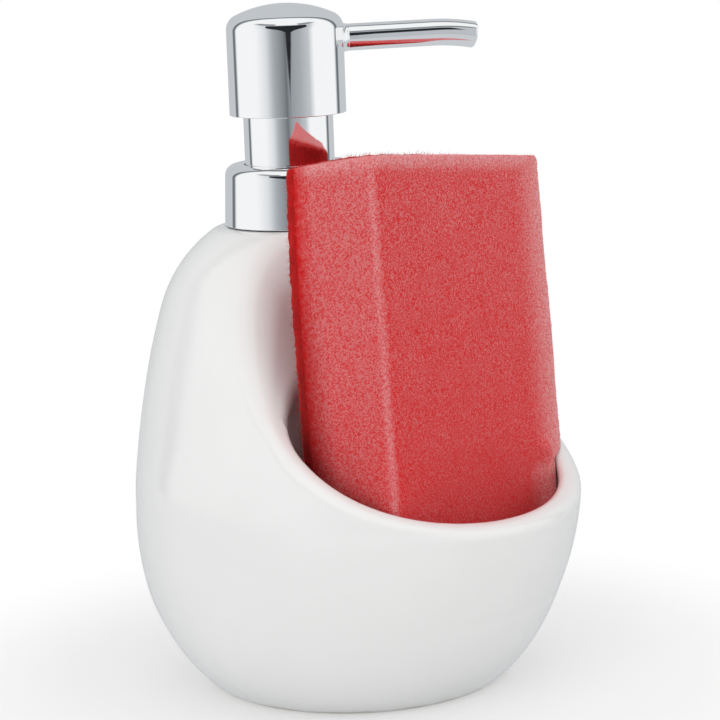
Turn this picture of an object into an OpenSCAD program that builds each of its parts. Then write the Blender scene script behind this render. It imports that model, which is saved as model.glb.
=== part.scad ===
// Soap pump caddy: a ceramic egg with a soap reservoir behind and a sponge cup in front,
// a push-fit lotion pump with a chrome head, and a sponge that lifts out.
// Lengths are millimetres. +Z is up, the table is z = 0, +X points from the pump to the cup.

/* [Ceramic body] */
// Radius of the bowl at its waist
bowl_r = 57.6; // [55:0.2:62]
// Height of the waist above the table
waist_h = 48.3; // [45:0.1:52]
// Depth of the bowl's curve below the waist, were it not cut flat at the foot
bowl_drop = 59.4; // [57:0.2:66]
// Exponent of the bowl's curve, 2 gives an ellipse
bowl_power = 2.6; // [2:0.1:3]
// Distance of the pump's axis behind the bowl's axis
pump_back = 17.5; // [15:0.5:20]
// Radius of the round shoulder under the collar
shoulder_r = 36.6; // [34:0.2:39]
// Depth of the shoulder's centre below the flat land
shoulder_drop = 31.1; // [28:0.1:34]
// Radius of the flank that joins the bowl to the shoulder
flank_r = 260; // [240:2:400]
// Height of the flat land that the collar stands on
neck_h = 117.5; // [114:0.1:119]
// Thickness of the ceramic wall
wall = 5; // [4:0.1:6]
// Thickness of the floor under the soap
floor_t = 6; // [4:0.1:9]
// Rounding of the foot's outer edge
foot_round = 3; // [1:0.1:5]
// Radius of the shallow recess inside the foot ring
foot_recess_r = 30; // [22:0.5:33]
// Depth of the shallow recess
foot_recess_t = 1.2; // [0.4:0.1:2.5]

/* [Scoop and cup] */
// Radius of the round scoop that opens the front
scoop_r = 82; // [78:0.5:86]
// Distance of the scoop's axis in front of the bowl's front
scoop_out = 17.9; // [15.5:0.1:21.5]
// Height of the scoop's axis
scoop_h = 128.5; // [125:0.5:135]
// Radius of the column that keeps the neck whole behind the scoop
neck_r = 21; // [19.5:0.1:23]
// Distance from the pump's axis to the cup's back wall, at the waist
cup_reach = 26; // [24:0.1:27.5]
// Thickness of the cup's floor above the table
cup_floor = 12; // [8:0.5:16]
// Rounding between a cavity's floor and its wall
cavity_round = 6; // [2:0.5:9]

/* [Neck and stopper] */
// Radius of the bore through the neck
neck_bore_r = 13.75; // [12.5:0.05:15]
// Depth of the neck bore
neck_depth = 20; // [16:0.5:24]
// Thickness of the ceramic roof over the soap
roof_t = 13; // [9:0.5:16]
// Running gap between the stopper's ribs and the bore
stopper_gap = 0.05; // [0.01:0.01:0.1]
// Height of the stopper's sealing ribs
rib_h = 0.6; // [0.3:0.1:1]
// Length of each sealing rib along the neck
rib_len = 1.6; // [1:0.1:2.2]
// Number of sealing ribs
rib_count = 3; // [2:1:4]
// Thickness of the rubber sleeve
stopper_wall = 1.9; // [1.2:0.1:2.5]
// Length of the rubber sleeve
stopper_len = 15; // [11:0.5:18]
// Thickness of the stopper's flange
stopper_flange_t = 0.8; // [0.5:0.1:1.5]
// Radius of the flanges inside the collar
flange_r = 15.6; // [15:0.1:16]
// Thickness of the plug's flange
plug_flange_t = 1; // [0.8:0.1:1.6]
// Clearance between pieces that are pressed together
fit = 0.05; // [0.02:0.01:0.1]

/* [Collar] */
// Radius of the collar at its foot
collar_r = 17.4; // [17:0.1:19]
// Radius of the collar where its top edge begins to round
collar_top_r = 16.85; // [16.5:0.05:18]
// Height of the collar
collar_h = 15.5; // [13.5:0.1:17]
// Gap between the collar and the ceramic land
collar_gap = 0.3; // [0.1:0.1:0.6]
// Rounding of the collar's top edge
collar_round = 2.8; // [2:0.1:4.5]
// Thickness of the chrome shells of the collar and the head
shell_t = 0.9; // [0.6:0.05:1.2]
// Inner radius of the liner under the collar shell
liner_in_r = 12.6; // [12.1:0.1:13.4]

/* [Head and sleeve] */
// Radius of the head
head_r = 15; // [14.5:0.1:16]
// Height of the head
head_h = 28.1; // [26:0.1:31]
// Rounding of the head's shoulder
head_round = 4; // [3:0.1:5]
// Radius of the head's low dome
head_dome_r = 30; // [26:0.5:40]
// Clear height between the collar and the head's rim at rest
head_gap = 12.6; // [12.6:0.1:15]
// Travel of the head when it is pressed
stroke = 12; // [9:0.5:12.5]
// Outer radius of the chrome sleeve under the head
sleeve_r = 11.55; // [11.3:0.05:11.7]
// Thickness of the sleeve's wall
sleeve_wall = 0.8; // [0.5:0.05:0.85]
// Length of the sleeve that is tucked up inside the head
sleeve_tuck = 5; // [3:0.5:6.5]
// Gap between the sleeve and the collar's opening
sleeve_gap = 0.3; // [0.15:0.05:0.5]
// Gap left under the pressed sleeve
bottom_gap = 0.3; // [0.1:0.1:0.8]

/* [Spout] */
// Outer radius of the spout
spout_r = 3.475; // [3.2:0.025:3.8]
// Thickness of the spout's chrome tube
spout_wall = 0.8; // [0.5:0.05:1]
// Thickness of the plastic liner in the spout
spout_liner_t = 0.75; // [0.5:0.05:0.9]
// Depth of the spout's axis below the head's crown
spout_drop = 9.6; // [8.6:0.1:11]
// Distance from the pump's axis to where the bend begins
spout_straight = 40; // [30:0.5:50]
// Radius of the bend's centre line
bend_r = 62; // [50:1:100]
// Angle through which the spout turns down
bend_angle = 11; // [4:1:20]
// Plan angle of the spout from +X towards +Y
spout_angle = 57; // [45:1:90]
// Distance from the pump's axis to the spout's root inside the head
spout_root = 6.2; // [5.5:0.1:7.5]
// Largest radius of the flared boss where the spout leaves the head
boss_r = 5; // [4.4:0.1:5.4]
// Reach of the boss past the head's side
boss_len = 1.9; // [1:0.1:3]

/* [Pump works] */
// Outer radius of the pump housing
housing_r = 8; // [7.5:0.1:8.3]
// Thickness of the housing's wall
housing_wall = 1; // [0.7:0.05:1.2]
// Radius of the housing's flange
housing_flange_r = 10.4; // [9.5:0.1:10.45]
// Thickness of the housing's flange and of the guide's flange
inner_flange_t = 1.2; // [0.8:0.1:1.4]
// Thickness of the sealing washer
washer_t = 0.6; // [0.4:0.1:0.8]
// Length of the housing's working bore below its flange
housing_len = 56; // [52:0.5:60]
// Radius of the inlet ball
ball_r = 2.4; // [2.2:0.05:2.5]
// Free lift of both valve balls
ball_lift = 1.5; // [0.8:0.1:2]
// Gap between a resting ball and its seat
ball_gap = 0.03; // [0.01:0.01:0.05]
// Radius of the inlet hole under the ball
inlet_r = 1.6; // [1.3:0.05:1.65]
// Gap around each ball in its pocket
pocket_gap = 1.2; // [0.6:0.1:1.4]
// Length of the socket that holds the dip tube
socket_len = 11; // [8:0.5:14]
// Outer radius of the dip tube
tube_r = 3.2; // [2.8:0.05:3.4]
// Thickness of the dip tube's wall
tube_wall = 0.8; // [0.5:0.05:1]
// Gap between the dip tube and the reservoir's floor
tube_gap = 3; // [2:0.5:8]
// Angle of the cut across the dip tube's lower end
tube_cut_angle = 30; // [10:5:45]
// Outer radius of the stem
stem_r = 3.6; // [3.3:0.05:3.8]
// Radius of the bore through the stem
stem_bore_r = 2; // [1.6:0.05:2.2]
// Running gap around the stem
stem_gap = 0.07; // [0.03:0.01:0.1]
// Running gap around the piston
piston_gap = 0.05; // [0.02:0.01:0.1]
// Length of the piston
piston_len = 9; // [7:0.5:10]
// Depth of the piston's top below the housing's flange at rest
piston_depth = 9; // [8:0.5:11]
// Thickness of the seat under the piston
seat_t = 3; // [2:0.5:4]
// Radius of the return spring's wire
wire_r = 0.5; // [0.3:0.05:0.6]
// Radius of the return spring's centre line
spring_r = 4.9; // [4.4:0.1:5.2]
// Number of turns of the return spring
spring_turns = 9; // [6:1:11]
// Height of the guide's chimney above its flange
chimney_h = 5.7; // [4:0.1:8]
// Radius of the round section of the stem's seal ring
seal_ring_r = 0.8; // [0.6:0.05:1]

/* [Sponge] */
// Width of the sponge across the cup
sponge_w = 69.5; // [64:0.5:70]
// Thickness of the whole sponge with its scouring pad
sponge_t = 25.7; // [20:0.1:26]
// Thickness of the scouring pad
pad_t = 4; // [3:0.1:6]
// Backward lean of the sponge
sponge_lean = 3; // [1:0.5:4]
// Rounding of the sponge's upright edges
sponge_round = 4; // [3:0.5:6]
// Gap between the sponge's back and the cup's back wall, at the waist
sponge_back_gap = 5.5; // [4:0.1:7]
// Height of the sponge's foot, on the curve of the cup
sponge_foot = 20; // [16:0.5:26]
// Height of the top of the sponge in its middle
sponge_top = 134; // [110:0.5:150]
// Slope of the sponge's top towards its far side
sponge_slope = 4; // [0:0.5:6]
// Gap between the squeezed sponge and the cup
sponge_gap = 0.4; // [0.2:0.1:0.8]

/* [Hidden] */
$fn = 64;

// One overrun serves every cut, and one reach every half space
over = 1;
reach = 2 * neck_h;

// Places along the body
shoulder_h = neck_h - shoulder_drop;
scoop_x = bowl_r + scoop_out;
cup_back_x = cup_reach - pump_back;

// The shoulder is a body of revolution about a line that leans from the bowl's centre to the pump
lean_rise = shoulder_h - waist_h;
lean = atan2(pump_back, lean_rise);
lean_len = norm([pump_back, lean_rise]);
flank_to_bowl = flank_r - bowl_r;
flank_to_shoulder = flank_r - shoulder_r;
flank_s = (pow(flank_to_bowl, 2) - pow(flank_to_shoulder, 2) + pow(lean_len, 2)) / (2 * lean_len);
flank_off = sqrt(pow(flank_to_bowl, 2) - pow(flank_s, 2));
bowl_tangent = atan2(-flank_s, flank_off);
shoulder_tangent = atan2(lean_len - flank_s, flank_off);
// The flank's foot starts this far inside the ball, so that the two surfaces cross
flank_dip = 0.05;
bowl_steps = 16;
flank_steps = 12;
cap_steps = 10;

// Heights up the pump
stopper_top = neck_h + stopper_flange_t;
plug_top = stopper_top + plug_flange_t;
washer_top = plug_top + washer_t;
housing_top = washer_top + inner_flange_t;
guide_top = housing_top + inner_flange_t;
collar_foot = neck_h + collar_gap;
collar_top = collar_foot + collar_h;
head_rim = collar_top + head_gap;
head_top = head_rim + head_h;
sleeve_foot = plug_top + stroke + bottom_gap;
sleeve_top = head_rim + sleeve_tuck;
spout_h = head_top - spout_drop;
head_round_h = head_top - head_dome_r
    + sqrt(pow(head_dome_r - head_round, 2) - pow(head_r - head_round, 2));

// Stopper
stopper_rib_r = neck_bore_r - stopper_gap;
stopper_out_r = stopper_rib_r - rib_h;
stopper_in_r = stopper_out_r - stopper_wall;
stopper_foot = neck_h - stopper_len;

// Pump works
housing_in_r = housing_r - housing_wall;
cage_t = 1.6;
cage_hole_r = 2;
ledge_h = washer_top - housing_len;
ball_stop = sqrt(pow(ball_r, 2) - pow(cage_hole_r, 2));
ball_h = ledge_h - ball_stop - ball_lift - ball_gap;
cone_tip_h = ball_h - ball_gap - ball_r * sqrt(2);
inlet_h = cone_tip_h + inlet_r;
pocket_r = ball_r + pocket_gap;
pocket_wall = 1.4;
socket_top = inlet_h - housing_wall;
socket_foot = socket_top - socket_len;
cage_top = ledge_h + cage_t;
piston_top = housing_top - piston_depth;
piston_foot = piston_top - piston_len;
seat_foot = piston_foot - seat_t;
seat_bore_r = 2;
// Height of the stem's foot above the seat under the piston
stem_seat_gap = 1;
lip_len = 2;
piston_waist_r = 5.6;
ring_gap = 0.1;
ring_r = 5.2;
ring_t = 1.5;
ring_foot = piston_top + ring_gap;
guide_foot = ring_foot + ring_t + ring_gap;
guide_tube_r = housing_in_r - fit;
guide_flange_r = housing_flange_r - fit;
chimney_r = 6;
seal_h = guide_top + chimney_h - 2 * seal_ring_r - bottom_gap;
running_bore_r = stem_r + stem_gap;

// Head core
stem_drop = 3.6;
core_r = head_r - shell_t - fit;
core_neck_r = head_r - head_round + shell_t + bottom_gap;
core_shoulder = head_round_h - shell_t;
core_top = spout_h + spout_r + shell_t;
spigot_r = sleeve_r - sleeve_wall - fit;
spigot_wall = 2;
spigot_foot = head_rim + shell_t;
stem_top = spout_h - spout_r - stem_drop;
outlet_ball_r = 2.3;
outlet_ball_h = stem_top + sqrt(pow(outlet_ball_r, 2) - pow(stem_bore_r, 2)) + ball_gap;
outlet_pocket_r = outlet_ball_r + bottom_gap;
outlet_pocket_top = outlet_ball_h + outlet_ball_r + ball_lift + ball_gap;
outlet_hole_r = 1.4;
core_boss_r = 6.4;
channel_r = spout_r - spout_wall - fit - spout_liner_t;
// The spout's bore runs on past its tip
cut_angle = bend_angle + asin(over / bend_r);

// Sponge
sponge_x = cup_back_x + sponge_back_gap;

module at_pump() {
    translate([-pump_back, 0, 0]) children();
}

module tube(outer_r, inner_r, foot, top) {
    translate([0, 0, foot]) difference() {
        cylinder(r = outer_r, h = top - foot);
        translate([0, 0, -over]) cylinder(r = inner_r, h = top - foot + 2 * over);
    }
}

// Points of an arc about [x, z]
function edge_arc(x, z, r, from, to) = [for (i = [0 : cap_steps])
    let (a = from + (to - from) * i / cap_steps) [x + r * cos(a), z + r * sin(a)]];

function bowl_radius(z, inset) = (bowl_r - inset)
    * pow(1 - pow((waist_h - z) / (bowl_drop - inset), 2), 1 / bowl_power);

// Lower half of the body's form, set in from the outside and cut flat at floor_z.
// A tongue reaches a little way up into the upper half.
module bowl_form(inset, floor_z, edge_r) {
    flare = bowl_radius(floor_z + edge_r, inset) - bowl_radius(floor_z, inset);
    slope = atan2(flare, edge_r);
    curve_foot = floor_z + edge_r * (1 - sin(slope));
    edge_x = bowl_radius(curve_foot, inset) - edge_r * cos(slope);
    edge = edge_arc(edge_x, floor_z + edge_r, edge_r, -90, -slope);
    rise = waist_h - curve_foot;
    tongue_r = bowl_r - inset - over;
    tongue = [[tongue_r, waist_h], [tongue_r, waist_h + over], [0, waist_h + over]];
    curve = [for (i = [1 : bowl_steps]) let (z = waist_h - rise * cos(90 * i / bowl_steps))
        [bowl_radius(z, inset), z]];
    rotate_extrude()
        polygon(concat([[0, floor_z]], edge, curve, tongue));
}

// Upper half, a ball with a leaning shoulder of two tangent arcs on it, cut flat at top_z
module shoulder_form(inset, top_z) {
    flank_arc = [for (i = [0 : flank_steps])
        let (a = bowl_tangent + (shoulder_tangent - bowl_tangent) * i / flank_steps)
        let (r = flank_r - inset - (i == 0 ? flank_dip : 0))
        [r * cos(a) - flank_off, flank_s + r * sin(a)]];
    cap_arc = [for (i = [1 : cap_steps])
        let (a = shoulder_tangent + (90 - shoulder_tangent) * i / cap_steps)
        [(shoulder_r - inset) * cos(a), lean_len + (shoulder_r - inset) * sin(a)]];
    start = [[0, flank_arc[0][1]]];
    intersection() {
        translate([0, 0, waist_h]) union() {
            sphere(r = bowl_r - inset);
            rotate([0, -lean, 0]) rotate_extrude() polygon(concat(start, flank_arc, cap_arc));
        }
        translate([-reach, -reach, waist_h]) cube([2 * reach, 2 * reach, top_z - waist_h]);
    }
}

module body_form(inset, floor_z, edge_r, top_z) {
    bowl_form(inset, floor_z, edge_r);
    shoulder_form(inset, top_z);
}

// Round scoop across the front, larger by grow
module scoop(grow) {
    translate([scoop_x, 0, scoop_h]) rotate([90, 0, 0])
        cylinder(r = scoop_r + grow, h = 2 * reach, center = true);
}

// Everything in front of a wall that leans as the sponge does
module front_of(x) {
    translate([x, 0, waist_h]) rotate([0, -sponge_lean, 0])
        translate([0, -reach, -reach]) cube(2 * reach);
}

module neck_column() {
    at_pump() cylinder(r = neck_r, h = neck_h);
}

module cup_space() {
    difference() {
        intersection() {
            body_form(wall, cup_floor, cavity_round, neck_h);
            front_of(cup_back_x);
        }
        neck_column();
    }
}

module reservoir_space() {
    difference() {
        body_form(wall, floor_t, cavity_round, neck_h - roof_t);
        front_of(cup_back_x - wall);
        scoop(wall);
    }
}

// The pump's way stays open from the dip tube's foot to the stopper, as wide as the plug
module pump_way() {
    foot = floor_t + tube_gap;
    at_pump() translate([0, 0, foot]) cylinder(r = stopper_in_r, h = stopper_foot - foot);
}

module ceramic_body() {
    color([0.93, 0.93, 0.92]) difference() {
        body_form(0, 0, foot_round, neck_h);
        difference() {
            scoop(0);
            neck_column();
        }
        cup_space();
        reservoir_space();
        pump_way();
        at_pump() translate([0, 0, neck_h - neck_depth])
            cylinder(r = neck_bore_r, h = neck_depth + over);
        translate([0, 0, -over])
            cylinder(r = foot_recess_r, h = foot_recess_t + over);
    }
}

module neck_stopper() {
    rib_step = stopper_len / rib_count;
    color([0.2, 0.2, 0.21]) at_pump() {
        tube(stopper_out_r, stopper_in_r, stopper_foot, stopper_top);
        tube(flange_r, stopper_in_r, neck_h, stopper_top);
        for (i = [0 : rib_count - 1]) let (z = stopper_foot + (i + 0.5) * rib_step)
            tube(stopper_rib_r, stopper_in_r, z - rib_len / 2, z + rib_len / 2);
    }
}

module plug_body() {
    color([0.95, 0.95, 0.95]) at_pump() {
        tube(stopper_in_r - fit, housing_r + fit, stopper_foot, stopper_top);
        tube(flange_r, housing_r + fit, stopper_top, plug_top);
    }
}

module collar_liner() {
    liner_top = collar_top - collar_round;
    color([0.9, 0.9, 0.9]) at_pump() rotate_extrude() polygon([
        [liner_in_r, plug_top],
        [flange_r, plug_top],
        [collar_top_r - shell_t - fit, liner_top],
        [liner_in_r, liner_top]]);
}

module collar_shell() {
    edge_x = collar_top_r - collar_round;
    edge_z = collar_top - collar_round;
    hole_r = sleeve_r + sleeve_gap;
    color([0.8, 0.81, 0.83]) at_pump() rotate_extrude() polygon(concat(
        [[collar_r, collar_foot]],
        edge_arc(edge_x, edge_z, collar_round, 0, 90),
        [[hole_r, collar_top], [hole_r, collar_top - shell_t]],
        edge_arc(edge_x, edge_z, collar_round - shell_t, 90, 0),
        [[collar_r - shell_t, collar_foot]]));
}

module seal_washer() {
    color([0.25, 0.25, 0.25]) at_pump()
        tube(housing_flange_r, housing_r + fit, plug_top, washer_top);
}

module pump_housing() {
    tail_r = pocket_r + pocket_wall;
    cone_len = housing_r - tail_r;
    color([0.9, 0.93, 0.95]) at_pump() difference() {
        union() {
            translate([0, 0, washer_top]) cylinder(r = housing_flange_r, h = inner_flange_t);
            translate([0, 0, ledge_h]) cylinder(r = housing_r, h = housing_len);
            translate([0, 0, ledge_h - cone_len]) cylinder(r1 = tail_r, r2 = housing_r, h = cone_len);
            translate([0, 0, socket_foot]) cylinder(r = tail_r, h = ledge_h - socket_foot);
        }
        translate([0, 0, ledge_h]) cylinder(r = housing_in_r, h = housing_top - ledge_h + over);
        translate([0, 0, cone_tip_h + pocket_r]) cylinder(r = pocket_r, h = ledge_h - cone_tip_h);
        translate([0, 0, inlet_h]) cylinder(r1 = inlet_r, r2 = pocket_r, h = pocket_r - inlet_r);
        translate([0, 0, socket_foot]) cylinder(r = inlet_r, h = inlet_h - socket_foot + over);
        translate([0, 0, socket_foot - over]) cylinder(r = tube_r + fit, h = socket_len + over);
    }
}

module dip_tube() {
    foot = floor_t + tube_gap;
    color([0.93, 0.94, 0.96]) at_pump() difference() {
        tube(tube_r, tube_r - tube_wall, foot, socket_top - fit);
        translate([-tube_r, 0, foot]) rotate([0, tube_cut_angle, 0])
            translate([-reach, -reach, -2 * reach]) cube(2 * reach);
    }
}

module inlet_ball() {
    color([0.75, 0.76, 0.78]) at_pump() translate([0, 0, ball_h]) sphere(r = ball_r);
}

module ball_cage() {
    slot_w = ball_r / 2;
    slot_len = 2 * (pocket_r - fit);
    color([0.9, 0.9, 0.9]) at_pump() difference() {
        tube(housing_in_r - fit, cage_hole_r, ledge_h, cage_top);
        for (a = [0, 90])
            translate([0, 0, ledge_h + cage_t / 2]) rotate([0, 0, a])
                cube([slot_len, slot_w, cage_t + 2 * over], center = true);
    }
}

// Points and rings of the spring: turns of a helix between two flat end turns
ring_sides = 6;
rings_per_turn = 8;
spring_foot = cage_top + wire_r + fit;
spring_rise = seat_foot - cage_top - 2 * wire_r - 2 * fit;
// Turns that lie flat at each end
flat_turns = 0.6;
spring_count = spring_turns * rings_per_turn;

function spring_climb(turns) = spring_rise
    * min(1, max(0, (turns - flat_turns) / (spring_turns - 2 * flat_turns)));
function spring_point(i) = let (turns = i / rings_per_turn, a = 360 * turns)
    [spring_r * cos(a), spring_r * sin(a), spring_foot + spring_climb(turns)];

// Least gap between one turn of the wire and the next
spring_self_gap = min([for (i = [0 : spring_count])
    for (j = [i + ceil(rings_per_turn / 2) : 1 : spring_count])
        norm(spring_point(j) - spring_point(i))]) - 2 * wire_r;
echo(spring_self_gap = spring_self_gap);

module return_spring() {
    count = spring_count;
    rings = [for (i = [0 : count]) let (turn = 360 * i / rings_per_turn)
        for (k = [0 : ring_sides - 1]) let (a = 360 * k / ring_sides)
            spring_point(i) + wire_r * [cos(a) * cos(turn), cos(a) * sin(turn), sin(a)]];
    walls = [for (i = [0 : count - 1]) for (k = [0 : ring_sides - 1])
        let (a = i * ring_sides + k, b = i * ring_sides + (k + 1) % ring_sides)
        each [[a, b, b + ring_sides], [a, b + ring_sides, a + ring_sides]]];
    last = count * ring_sides;
    caps = [for (k = [1 : ring_sides - 2]) each [[0, k + 1, k], [last, last + k, last + k + 1]]];
    color([0.7, 0.71, 0.73]) at_pump() polyhedron(rings, concat(walls, caps));
}

module piston_seat() {
    color([0.88, 0.9, 0.92]) at_pump()
        tube(piston_waist_r + wire_r, seat_bore_r, seat_foot, piston_foot);
}

module piston() {
    lip_r = housing_in_r - piston_gap;
    color([0.85, 0.87, 0.9]) at_pump() rotate_extrude() polygon([
        [running_bore_r, piston_foot],
        [lip_r, piston_foot],
        [lip_r, piston_foot + lip_len / 2],
        [piston_waist_r, piston_foot + lip_len],
        [piston_waist_r, piston_top - lip_len],
        [lip_r, piston_top - lip_len / 2],
        [lip_r, piston_top],
        [running_bore_r, piston_top]]);
}

module stem_guide() {
    groove_r = running_bore_r + 2 * seal_ring_r + fit;
    color([0.93, 0.93, 0.93]) at_pump() difference() {
        union() {
            translate([0, 0, guide_foot]) cylinder(r = guide_tube_r, h = guide_top - guide_foot);
            translate([0, 0, housing_top]) cylinder(r = guide_flange_r, h = inner_flange_t);
            translate([0, 0, guide_top]) cylinder(r = chimney_r, h = chimney_h);
        }
        translate([0, 0, guide_foot - over])
            cylinder(r = running_bore_r, h = guide_top + chimney_h - guide_foot + 2 * over);
        translate([0, 0, seal_h - seal_ring_r - fit])
            cylinder(r = groove_r, h = chimney_h);
    }
}

module stem_seal() {
    color([0.15, 0.15, 0.16]) at_pump() translate([0, 0, seal_h]) rotate_extrude()
        translate([running_bore_r + seal_ring_r, 0]) circle(r = seal_ring_r);
}

module stem() {
    foot = piston_foot + stem_seat_gap;
    color([0.93, 0.93, 0.93]) at_pump() {
        tube(stem_r, stem_bore_r, foot, stem_top);
        tube(ring_r, stem_bore_r, ring_foot, ring_foot + ring_t);
    }
}

module outlet_ball() {
    color([0.75, 0.76, 0.78]) at_pump()
        translate([0, 0, outlet_ball_h]) sphere(r = outlet_ball_r);
}

module stem_sleeve() {
    color([0.8, 0.81, 0.83]) at_pump()
        tube(sleeve_r, sleeve_r - sleeve_wall, sleeve_foot, sleeve_top);
}

// The spout's run as a solid rod of radius r, which bends down towards its tip
module spout_run(r, from, angle) {
    rotate([0, 0, spout_angle]) {
        translate([from, 0, spout_h]) rotate([0, 90, 0])
            cylinder(r = r, h = spout_straight - from);
        translate([spout_straight, 0, spout_h - bend_r]) rotate([-90, -90, 0])
            rotate_extrude(angle = angle) translate([bend_r, 0]) circle(r = r);
    }
}

// Solid form of the head, set in from the outside
module head_form(inset, foot) {
    round_angle = atan2(head_round_h - head_top + head_dome_r, head_r - head_round);
    rotate_extrude() polygon(concat(
        [[0, foot], [head_r - inset, foot]],
        edge_arc(head_r - head_round, head_round_h, head_round - inset, 0, round_angle),
        edge_arc(0, head_top - head_dome_r, head_dome_r - inset, round_angle, 90)));
}

module head_shell() {
    color([0.8, 0.81, 0.83]) at_pump() difference() {
        union() {
            head_form(0, head_rim);
            rotate([0, 0, spout_angle]) translate([head_r - shell_t, 0, spout_h]) rotate([0, 90, 0])
                cylinder(r1 = boss_r, r2 = spout_r + fit + shell_t / 2, h = shell_t + boss_len);
        }
        head_form(shell_t, head_rim - over);
        rotate([0, 0, spout_angle]) translate([0, 0, spout_h]) rotate([0, 90, 0])
            cylinder(r = spout_r + fit, h = 2 * head_r);
    }
}

module head_core() {
    color([0.92, 0.92, 0.92]) at_pump() difference() {
        union() {
            translate([0, 0, sleeve_top]) cylinder(r = core_r, h = core_shoulder - sleeve_top);
            translate([0, 0, sleeve_top]) cylinder(r = core_neck_r, h = core_top - sleeve_top);
            tube(spigot_r, spigot_r - spigot_wall, spigot_foot, sleeve_top + over);
            translate([0, 0, spigot_foot]) cylinder(r = core_boss_r, h = sleeve_top - spigot_foot + over);
        }
        translate([0, 0, spigot_foot - over])
            cylinder(r = stem_r + fit, h = stem_top - spigot_foot + over);
        translate([0, 0, stem_top])
            cylinder(r = outlet_pocket_r, h = outlet_pocket_top - stem_top);
        translate([0, 0, stem_top]) cylinder(r = outlet_hole_r, h = spout_h - stem_top);
        rotate([0, 0, spout_angle]) translate([0, 0, spout_h]) rotate([0, 90, 0]) {
            cylinder(r = channel_r, h = spout_root + over);
            translate([0, 0, spout_root - fit]) cylinder(r = spout_r + fit, h = head_r);
        }
    }
}

module spout_tube() {
    color([0.8, 0.81, 0.83]) at_pump() difference() {
        spout_run(spout_r, spout_root, bend_angle);
        spout_run(spout_r - spout_wall, spout_root - over, cut_angle);
    }
}

module spout_liner() {
    liner_r = spout_r - spout_wall - fit;
    color([0.92, 0.92, 0.92]) at_pump() difference() {
        spout_run(liner_r, spout_root, bend_angle);
        spout_run(liner_r - spout_liner_t, spout_root - over, cut_angle);
    }
}

// Plan of the sponge with its four upright edges rounded, x = 0 at its back
module sponge_plan() {
    half = sponge_w / 2;
    translate([sponge_round, -half]) square([sponge_t - 2 * sponge_round, sponge_w]);
    translate([0, sponge_round - half]) square([sponge_t, sponge_w - 2 * sponge_round]);
    for (x = [sponge_round, sponge_t - sponge_round])
        for (y = [sponge_round - half, half - sponge_round])
            translate([x, y]) circle(r = sponge_round);
}

// The whole sponge, leaning in the cup, squeezed by the cup's curve and cut across its top
module sponge_form(from, to) {
    intersection() {
        translate([sponge_x, 0, waist_h]) rotate([0, -sponge_lean, 0])
            translate([0, 0, -waist_h]) linear_extrude(height = 2 * sponge_top) intersection() {
                sponge_plan();
                translate([from, -sponge_w]) square([to - from, 2 * sponge_w]);
            }
        union() {
            bowl_form(wall + sponge_gap, sponge_foot, cavity_round);
            translate([0, -reach, waist_h]) cube(2 * reach);
        }
        translate([sponge_x, 0, sponge_top]) rotate([-sponge_slope, -sponge_lean, 0])
            translate([-reach, -reach, -2 * reach]) cube(2 * reach);
    }
}

module sponge_foam() {
    color([0.82, 0.31, 0.3]) sponge_form(pad_t, sponge_t);
}

module scourer_pad() {
    color([0.66, 0.16, 0.15]) sponge_form(0, pad_t);
}

ceramic_body();
neck_stopper();
plug_body();
collar_liner();
collar_shell();
seal_washer();
pump_housing();
dip_tube();
inlet_ball();
ball_cage();
return_spring();
piston_seat();
piston();
stem_guide();
stem_seal();
stem();
outlet_ball();
stem_sleeve();
head_core();
head_shell();
spout_tube();
spout_liner();
sponge_foam();
scourer_pad();
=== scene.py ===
import math
import random

import bmesh
import bpy
import numpy as np
from bpy.props import FloatProperty, FloatVectorProperty, IntProperty, PointerProperty
from bpy.types import Operator, Panel, PropertyGroup
from mathutils import Matrix, Vector, noise


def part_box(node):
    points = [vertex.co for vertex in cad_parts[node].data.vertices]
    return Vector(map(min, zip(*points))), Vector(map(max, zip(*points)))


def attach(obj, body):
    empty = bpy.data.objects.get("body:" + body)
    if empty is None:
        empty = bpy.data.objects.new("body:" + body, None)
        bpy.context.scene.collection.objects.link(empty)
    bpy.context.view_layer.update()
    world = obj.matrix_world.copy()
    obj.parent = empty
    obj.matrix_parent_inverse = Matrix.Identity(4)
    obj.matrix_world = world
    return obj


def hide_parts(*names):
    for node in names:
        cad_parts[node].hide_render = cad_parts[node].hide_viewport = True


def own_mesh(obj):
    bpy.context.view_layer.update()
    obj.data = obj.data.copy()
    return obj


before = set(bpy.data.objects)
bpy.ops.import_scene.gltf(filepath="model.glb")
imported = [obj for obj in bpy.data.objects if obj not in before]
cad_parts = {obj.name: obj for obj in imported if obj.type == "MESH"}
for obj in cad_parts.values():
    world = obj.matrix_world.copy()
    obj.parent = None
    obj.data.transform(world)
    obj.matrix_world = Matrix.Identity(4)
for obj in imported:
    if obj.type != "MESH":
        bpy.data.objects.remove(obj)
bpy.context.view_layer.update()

bl_info = {
    "name": "Soap Pump Caddy",
    "version": (1, 0, 0),
    "blender": (4, 5, 0),
    "location": "3D View > Sidebar > Caddy",
    "description": "A glazed caddy with a chrome soap pump and a sponge, built on its frame",
    "category": "Add Mesh",
}

MM = 0.001

# Places and sizes of the pump, read from the frame's own solids
COLLAR_LOW, COLLAR_HIGH = (Vector(corner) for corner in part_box("collar_shell"))
SLEEVE_LOW, SLEEVE_HIGH = (Vector(corner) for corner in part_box("stem_sleeve"))
HEAD_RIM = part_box("head_shell")[0][2]
HEAD_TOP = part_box("head_shell")[1][2]
PUMP_X = (COLLAR_LOW.x + COLLAR_HIGH.x) / 2
PUMP_AXIS = Vector((PUMP_X, 0, 0))
COLLAR_R = (COLLAR_HIGH.x - COLLAR_LOW.x) / 2
SLEEVE_R = (SLEEVE_HIGH.x - SLEEVE_LOW.x) / 2
NECK_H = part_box("ceramic_body")[1][2]

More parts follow.
